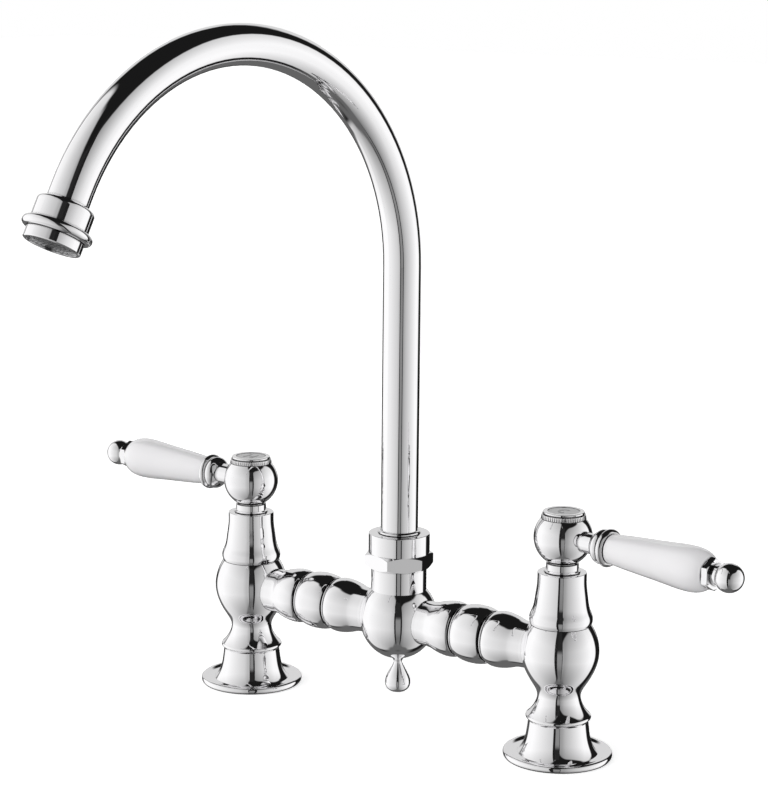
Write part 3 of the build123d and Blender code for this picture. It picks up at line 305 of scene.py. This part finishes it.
def new_material(name, colour, surface, values, bump, metallic=0.0):
    """Principled material whose roughness and bump come from one of the surface groups."""
    material = bpy.data.materials.new(name)
    material.use_nodes = True
    tools = Shader(material.node_tree)
    principled = material.node_tree.nodes["Principled BSDF"]
    principled.inputs["Base Color"].default_value = (*colour, 1.0)
    principled.inputs["Metallic"].default_value = metallic
    group = tools.add("ShaderNodeGroup")
    group.node_tree = bpy.data.node_groups.get(surface) or GROUP_BUILDERS[surface]()
    for socket, value in values.items():
        group.inputs[socket].default_value = value
    tools.wire(group.outputs["Roughness"], principled.inputs["Roughness"])
    relief = tools.add("ShaderNodeBump")
    relief.inputs["Strength"].default_value = bump
    relief.inputs["Distance"].default_value = BUMP_REACH
    tools.wire(group.outputs["Height"], relief.inputs["Height"])
    tools.wire(relief.outputs["Normal"], principled.inputs["Normal"])
    return material, principled


def dress(slot, material):
    """Puts the material on every CAD node of that slot."""
    nodes = [node for node, used_slot in SLOT_OF_NODE.items() if used_slot == slot]
    if not nodes:
        raise RuntimeError("no CAD node has the slot " + slot)
    for node in nodes:
        mesh = frame["nodes"][node].data
        mesh.materials.clear()
        mesh.materials.append(material)


# ---------------------------------------------------------------- finishes
class MIXER_OT_chrome(bpy.types.Operator):
    """Plate the cast, turned and drawn parts in mirror chrome"""
    bl_idname = "mixer.chrome"
    bl_label = "Chrome"

    def execute(self, context):
        finish = context.scene.mixer_chrome
        chrome, principled = new_material(
            "chrome", finish.tint, "Handled surface",
            {"Least roughness": finish.gloss, "Most roughness": finish.haze},
            bump=finish.ripple, metallic=1.0)
        tools = Shader(chrome.node_tree)
        # Painted shade: ambient occlusion mixes the chrome tint towards black in grooves and where
        # parts meet
        crevice_shade = tools.add("ShaderNodeGroup")
        crevice_shade.node_tree = GROUP_BUILDERS["Painted crevice shade"]()
        crevice_shade.inputs["Least share"].default_value = finish.painted_groove_shade
        shade = tools.add("ShaderNodeMix", data_type="RGBA")
        tools.wire(crevice_shade.outputs["Share"], shade.inputs["Factor"])
        shade.inputs["A"].default_value = BLACK
        shade.inputs["B"].default_value = (*finish.tint, 1.0)
        tools.wire(shade.outputs["Result"], principled.inputs["Base Color"])
        dress("chrome", chrome)
        return {"FINISHED"}


def add_glaze(name, colour, finish):
    """Glaze or enamel with a clear coat."""
    glaze, principled = new_material(
        name, colour, "Handled surface",
        {"Least roughness": finish.gloss, "Most roughness": finish.haze}, bump=0.05)
    principled.inputs["Coat Weight"].default_value = 0.6
    principled.inputs["Coat Roughness"].default_value = 0.03
    return glaze


class MIXER_OT_porcelain(bpy.types.Operator):
    """Glaze the grips in white and enamel the index discs"""
    bl_idname = "mixer.porcelain"
    bl_label = "Porcelain"

    def execute(self, context):
        finish = context.scene.mixer_porcelain
        dress("porcelain", add_glaze("porcelain", finish.glaze, finish))
        for side in SIDES:
            dress(side + "_index", add_glaze(side + "_index", finish.disc, finish))
        return {"FINISHED"}


def letter_outlines(sizes):
    """Outline of each letter round its own middle, as (x, y) pairs in a walk round it."""
    half_height = sizes.height / 2
    stroke = sizes.stroke
    half_width = sizes.width / 2
    inner = half_width - stroke
    bar = stroke / 2
    lower_right = [(inner, -bar), (inner, -half_height), (half_width, -half_height)]
    right_half = lower_right + [(x, -y) for x, y in reversed(lower_right)]
    h_outline = right_half + [(-x, -y) for x, y in right_half]
    mouth, steps = 48, 32              # degrees from the middle of the C's mouth to its lip
    turns = [radians(mouth + (360 - 2 * mouth) * step / steps) for step in range(steps + 1)]
    outer_arc = [(half_width * cos(turn), half_height * sin(turn)) for turn in turns]
    inner_height = half_height - stroke
    inner_arc = [(inner * cos(turn), inner_height * sin(turn)) for turn in reversed(turns)]
    return {"hot": h_outline, "cold": outer_arc + inner_arc}


class MIXER_OT_letters(bpy.types.Operator):
    """Enamel a plain H and C on the index discs"""
    bl_idname = "mixer.letters"
    bl_label = "Letters"

    def execute(self, context):
        sizes = context.scene.mixer_letters
        finish = context.scene.mixer_porcelain
        enamel = add_glaze("letter enamel", finish.mark, finish)
        for side, outline in letter_outlines(sizes).items():
            shape = bmesh.new()
            face = shape.faces.new([shape.verts.new((x, y, 0.0)) for x, y in outline])
            raised = bmesh.ops.extrude_face_region(shape, geom=[face])["geom"]
            raised_points = [part for part in raised if isinstance(part, bmesh.types.BMVert)]
            bmesh.ops.translate(shape, vec=UP * sizes.relief, verts=raised_points)
            bmesh.ops.recalc_face_normals(shape, faces=shape.faces)
            mesh = bpy.data.meshes.new(side + "_index_letter")
            shape.to_mesh(mesh)
            shape.free()
            mesh.materials.append(enamel)
            letter = bpy.data.objects.new(side + "_index_letter", mesh)
            context.scene.collection.objects.link(letter)
            low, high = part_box(side + "_index_disc")
            letter.location = ((low[0] + high[0]) / 2, (low[1] + high[1]) / 2, high[2])
            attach(letter, side + "_lever")
        return {"FINISHED"}


class MIXER_OT_inner_parts(bpy.types.Operator):
    """Finish the brass, steel, rubber, plastic and ceramic parts"""
    bl_idname = "mixer.inner_parts"
    bl_label = "Inner parts"

    def execute(self, context):
        finish = context.scene.mixer_inner
        turned = (("brass", finish.brass, 0.25),
                  ("steel", finish.steel, 0.2),
                  ("mesh_steel", finish.gauze, 0.3))
        for slot, colour, spacing in turned:
            metal, _ = new_material(slot, colour, "Turned surface", {"Ring spacing": spacing},
                                    bump=0.3, metallic=1.0)
            dress(slot, metal)
        moulded = (("rubber", finish.rubber, 0.55, 0.75),
                   ("plastic", finish.acetal, 0.35, 0.5),
                   ("valve_ceramic", finish.ceramic, 0.15, 0.3))
        for slot, colour, least, most in moulded:
            matt, _ = new_material(slot, colour, "Moulded surface",
                                   {"Least roughness": least, "Most roughness": most}, bump=0.4)
            dress(slot, matt)
        return {"FINISHED"}


# ---------------------------------------------------------------- studio
def world_direction(azimuth, elevation):
    """Unit vector from the object; azimuth runs from the front (-Y) towards +X."""
    level = cos(elevation)
    return Vector((sin(azimuth) * level, -cos(azimuth) * level, sin(elevation)))


def soft_box_group():
    """Mask of a rounded rectangle on the sky, 1 inside and 0 outside. Angles in degrees."""
    tools, given, result = new_group(
        "Soft box",
        {"Across": 0.0, "Up": 0.0, "Centre across": 0.0, "Centre up": 0.0,
         "Half width": 10.0, "Half height": 10.0, "Corner": 5.0, "Edge": 2.0},
        ("Mask",))
    beyond = []
    for place, centre, half in (("Across", "Centre across", "Half width"),
                                ("Up", "Centre up", "Half height")):
        offset = tools.math("ABSOLUTE", tools.math("SUBTRACT", given[place], given[centre]))
        straight = tools.math("SUBTRACT", given[half], given["Corner"])
        beyond.append(tools.math("SUBTRACT", offset, straight))
    outside = [tools.math("MAXIMUM", value, 0.0) for value in beyond]
    squares = [tools.math("MULTIPLY", value, value) for value in outside]
    corner_distance = tools.math("SQRT", tools.math("ADD", *squares))
    inside = tools.math("MINIMUM", tools.math("MAXIMUM", *beyond), 0.0)
    distance = tools.math("SUBTRACT", tools.math("ADD", corner_distance, inside), given["Corner"])
    half_edge = tools.math("MULTIPLY", given["Edge"], 0.5)
    edge = tools.spread(distance, tools.math("MULTIPLY", half_edge, -1.0), half_edge, 1.0, 0.0)
    tools.wire(edge, result["Mask"])
    return tools.tree


class SoftBox(NamedTuple):
    """One soft box on the sky, in degrees: across from the camera, positive to its left, and up."""
    mask: tuple      # centre across, centre up, half width, half height, corner, edge
    levels: tuple    # (across, brightness) from the gap outwards
    top: tuple       # up where it starts to dim, up where it is dimmest, share left there


LEFT_BOX = SoftBox(mask=(71.0, -2.0, 69.0, 71.0, 46.0, 7.0),
                   levels=((12.0, 0.5), (24.0, 0.66), (100.0, 1.04)),
                   top=(15.0, 75.0, 0.62))
RIGHT_BOX = SoftBox(mask=(-61.0, -14.0, 60.0, 59.0, 32.0, 5.0),
                    levels=((-10.0, 0.34), (-24.0, 0.5), (-95.0, 1.02)),
                    top=(5.0, 48.0, 0.6))
FOOT_DIM, FOOT_BRIGHT, FOOT_SHARE = -74.0, -24.0, 0.4      # both boxes dim towards the foot
CEILING = 0.01                                             # brightness where nothing hangs

# The rest of the tent: mask as above, then brightness
TENT_PATCHES = (
    ("ground", 0, -78, 400, 12, 0, 16, 0.13),
    ("ground behind, left", 168, -46, 30, 32, 12, 14, 0.13),
    ("ground behind, right", -172, -50, 28, 28, 12, 14, 0.13),
    ("backdrop, left", 169, 15, 24, 21, 8, 8, 0.7),
    ("backdrop, right", -170, 12, 19, 21, 8, 9, 0.7),
    ("front", 1, -30, 30, 40, 10, 8, 0.16),
)


def tent_brightness(tools, across, up):
    """Brightness of the light tent: patches, and two large soft boxes beside the camera."""
    box_group = soft_box_group()

    def mask(sizes):
        group = tools.add("ShaderNodeGroup")
        group.node_tree = box_group
        tools.wire(across, group.inputs["Across"])
        tools.wire(up, group.inputs["Up"])
        for slot, size in zip(group.inputs[2:], sizes):
            slot.default_value = size
        return group.outputs["Mask"]

    def glow(box):
        """Brightness of a soft box, which changes across it and is dimmer at top and foot."""
        (first, light), *others = box.levels
        for direction, brightness in others:
            light = tools.spread(across, first, direction, light, brightness, smooth=False)
            first = direction
        top_start, top_end, top_share = box.top
        top = tools.spread(up, top_start, top_end, 1.0, top_share, smooth=False)
        foot = tools.spread(up, FOOT_DIM, FOOT_BRIGHT, FOOT_SHARE, 1.0, smooth=False)
        return tools.math("MULTIPLY", tools.math("MULTIPLY", light, top), foot)

    level = CEILING
    for _, *sizes, brightness in TENT_PATCHES:
        level = tools.blend(mask(sizes), level, brightness)
    for box in (LEFT_BOX, RIGHT_BOX):
        level = tools.blend(mask(box.mask), level, glow(box))
    return level


def tent_world(studio):
    """World seen as plain white by the camera and as the light tent by everything else."""
    world = bpy.data.worlds.new("light tent")
    world.use_nodes = True
    tools = Shader(world.node_tree)
    world.node_tree.nodes.clear()
    direction = tools.add("ShaderNodeTexCoord").outputs["Generated"]
    front = world_direction(studio.camera_azimuth, 0.0)
    to_left = front.cross(UP)

    def along(axis):
        node = tools.add("ShaderNodeVectorMath", operation="DOT_PRODUCT")
        tools.wire(direction, node.inputs[0])
        node.inputs[1].default_value = axis
        return node.outputs["Value"]

    across = tools.math("DEGREES", tools.math("ARCTAN2", along(to_left), along(front)))
    up = tools.math("DEGREES", tools.math("ARCSINE", along(UP)))
    brightness = tent_brightness(tools, across, up)
    rays = tools.add("ShaderNodeLightPath").outputs
    mirror = tools.math("MAXIMUM", rays["Is Glossy Ray"], rays["Is Transmission Ray"])
    level = tools.math("MULTIPLY", brightness,
                       tools.blend(mirror, studio.fill_level, studio.tent_level))
    seen = tools.blend(rays["Is Camera Ray"], level, 1.0)
    background = tools.add("ShaderNodeBackground")
    background.inputs["Color"].default_value = WHITE
    tools.wire(seen, background.inputs["Strength"])
    tools.wire(background.outputs[0], tools.add("ShaderNodeOutputWorld").inputs["Surface"])
    return world


def floor_material(studio):
    """Pale matt floor. The camera sees it lifted to white, with the object's shadow kept."""
    material = bpy.data.materials.new("studio floor")
    material.use_nodes = True
    tools = Shader(material.node_tree)
    principled = material.node_tree.nodes["Principled BSDF"]
    principled.inputs["Base Color"].default_value = (*studio.floor_colour, 1.0)
    principled.inputs["Roughness"].default_value = 0.9
    principled.inputs["Specular IOR Level"].default_value = 0.0
    rays = tools.add("ShaderNodeLightPath").outputs
    mirror = tools.math("MAXIMUM", rays["Is Glossy Ray"], rays["Is Transmission Ray"])
    seen = tools.math("MAXIMUM", rays["Is Camera Ray"], mirror)
    principled.inputs["Emission Color"].default_value = WHITE
    tools.wire(tools.math("MULTIPLY", seen, studio.floor_lift),
               principled.inputs["Emission Strength"])
    return material


# Heights in metres over the worktop, and the share or level of brightness that the room has there
ROOM_FOOT, ROOM_FOOT_SHARE = -1.0, 0.6
ROOM_FULL = -0.3
ROOM_DIMS_FROM = 0.02
ROOM_TOP, ROOM_TOP_LEVEL = 0.26, 0.02


def gap_material(studio):
    """The dim room seen between the soft boxes, dark above the worktop's level."""
    material = bpy.data.materials.new("gap between the boxes")
    material.use_nodes = True
    tools = Shader(material.node_tree)
    material.node_tree.nodes.clear()
    place = tools.add("ShaderNodeSeparateXYZ")
    tools.wire(tools.add("ShaderNodeTexCoord").outputs["Object"], place.inputs[0])
    height = place.outputs["Z"]
    level = tools.spread(height, ROOM_DIMS_FROM, ROOM_TOP, studio.gap_level, ROOM_TOP_LEVEL)
    share = tools.spread(height, ROOM_FOOT, ROOM_FULL, ROOM_FOOT_SHARE, 1.0)
    glow = tools.add("ShaderNodeEmission")
    tools.wire(tools.math("MULTIPLY", level, share), glow.inputs["Strength"])
    tools.wire(glow.outputs[0], tools.add("ShaderNodeOutputMaterial").inputs["Surface"])
    return material


def side_material(studio):
    """Dark cloth on the soft boxes' sides, seen from the gap only."""
    material = bpy.data.materials.new("dark side of a box")
    material.use_nodes = True
    tools = Shader(material.node_tree)
    material.node_tree.nodes.clear()
    glow = tools.add("ShaderNodeEmission")
    glow.inputs["Strength"].default_value = studio.side_level
    chooser = tools.add("ShaderNodeMixShader")
    tools.wire(tools.add("ShaderNodeNewGeometry").outputs["Backfacing"], chooser.inputs[0])
    tools.wire(glow.outputs[0], chooser.inputs[1])
    tools.wire(tools.add("ShaderNodeBsdfTransparent").outputs[0], chooser.inputs[2])
    surface = tools.add("ShaderNodeOutputMaterial").inputs["Surface"]
    tools.wire(chooser.outputs[0], surface)
    return material


class MIXER_OT_studio(bpy.types.Operator):
    """Build the floor, the light tent, the gap between its soft boxes and the camera"""
    bl_idname = "mixer.studio"
    bl_label = "Studio"

    def execute(self, context):
        studio = context.scene.mixer_studio
        self.add_floor(context, studio)
        self.add_gap(context, studio)
        context.scene.world = tent_world(studio)
        self.add_camera(context, studio)
        context.scene.view_settings.view_transform = "Standard"
        return {"FINISHED"}

    def add_floor(self, context, studio):
        mesh = bpy.data.meshes.new("floor")
        shape = bmesh.new()
        bmesh.ops.create_grid(shape, x_segments=8, y_segments=8, size=studio.floor_size / 2,
                              matrix=Matrix.Translation(UP * -studio.floor_drop))
        shape.to_mesh(mesh)
        shape.free()
        floor = bpy.data.objects.new("floor", mesh)
        floor.data.materials.append(floor_material(studio))
        floor.visible_glossy = False
        context.scene.collection.objects.link(floor)

    def add_gap(self, context, studio):
        """Back and two sides of the gap between the soft boxes; only mirrors see it."""
        front = world_direction(studio.camera_azimuth, 0.0)
        to_right = UP.cross(front)
        near, far = studio.box_distance, studio.box_distance + studio.box_depth
        left, right = -studio.gap_left, studio.gap_right
        corners = ((left, near), (left, far), (right, far), (right, near))
        shape = bmesh.new()
        feet = [shape.verts.new((side, depth, studio.gap_foot)) for side, depth in corners]
        tops = [shape.verts.new((side, depth, studio.gap_top)) for side, depth in corners]
        room, cloth = 0, 1
        for step, surface in enumerate((cloth, room, cloth)):
            wall = shape.faces.new((feet[step], feet[step + 1], tops[step + 1], tops[step]))
            wall.material_index = surface
        mesh = bpy.data.meshes.new("gap")
        shape.to_mesh(mesh)
        shape.free()
        mesh.materials.append(gap_material(studio))
        mesh.materials.append(side_material(studio))
        gap = bpy.data.objects.new("gap", mesh)
        gap.matrix_world = Matrix((to_right, front, UP)).transposed().to_4x4()
        for ray in ("camera", "diffuse", "transmission", "volume_scatter", "shadow"):
            setattr(gap, "visible_" + ray, False)
        context.scene.collection.objects.link(gap)

    def add_camera(self, context, studio):
        back = world_direction(studio.camera_azimuth, studio.camera_elevation)
        right = UP.cross(back).normalized()
        up = back.cross(right)
        aim = UP * studio.aim_height + right * studio.aim_side
        data = bpy.data.cameras.new("photo camera")
        data.lens = studio.focal_length / PHOTO_HEIGHT * SENSOR
        data.sensor_width = SENSOR
        data.shift_x = (PHOTO_WIDTH / 2 - studio.axis_column) / PHOTO_HEIGHT
        data.shift_y = (studio.axis_row - PHOTO_HEIGHT / 2) / PHOTO_HEIGHT
        data.clip_start = 0.01
        camera = bpy.data.objects.new("photo camera", data)
        axes = Matrix((right, up, back)).transposed().to_4x4()
        place = Matrix.Translation(aim + back * studio.camera_distance)
        camera.matrix_world = place @ axes @ Matrix.Rotation(studio.camera_roll, 4, "Z")
        context.scene.collection.objects.link(camera)
        context.scene.camera = camera


# ---------------------------------------------------------------- add-on
OPERATORS = (MIXER_OT_chrome, MIXER_OT_porcelain, MIXER_OT_letters, MIXER_OT_inner_parts,
             MIXER_OT_studio)


class MIXER_PT_panel(bpy.types.Panel):
    """Sizes and finishes of the mixer"""
    bl_label = "Bridge kitchen mixer"
    bl_idname = "MIXER_PT_panel"
    bl_space_type = "VIEW_3D"
    bl_region_type = "UI"
    bl_category = "Mixer"

    def draw(self, context):
        for attribute, group in SETTING_GROUPS.items():
            box = self.layout.box()
            box.label(text=group.__doc__)
            for name in group.__annotations__:
                box.prop(getattr(context.scene, attribute), name)
        for operator in OPERATORS:
            self.layout.operator(operator.bl_idname)


def register():
    for group in SETTING_GROUPS.values():
        bpy.utils.register_class(group)
    for attribute, group in SETTING_GROUPS.items():
        setattr(bpy.types.Scene, attribute, PointerProperty(type=group))
    for operator in (*OPERATORS, MIXER_PT_panel):
        bpy.utils.register_class(operator)


def unregister():
    for operator in reversed((*OPERATORS, MIXER_PT_panel)):
        bpy.utils.unregister_class(operator)
    for attribute, group in SETTING_GROUPS.items():
        delattr(bpy.types.Scene, attribute)
        bpy.utils.unregister_class(group)


def main():
    register()
    bpy.ops.mixer.chrome()
    bpy.ops.mixer.porcelain()
    bpy.ops.mixer.letters()
    bpy.ops.mixer.inner_parts()
    bpy.ops.mixer.studio()


if __name__ == "__main__":
    main()
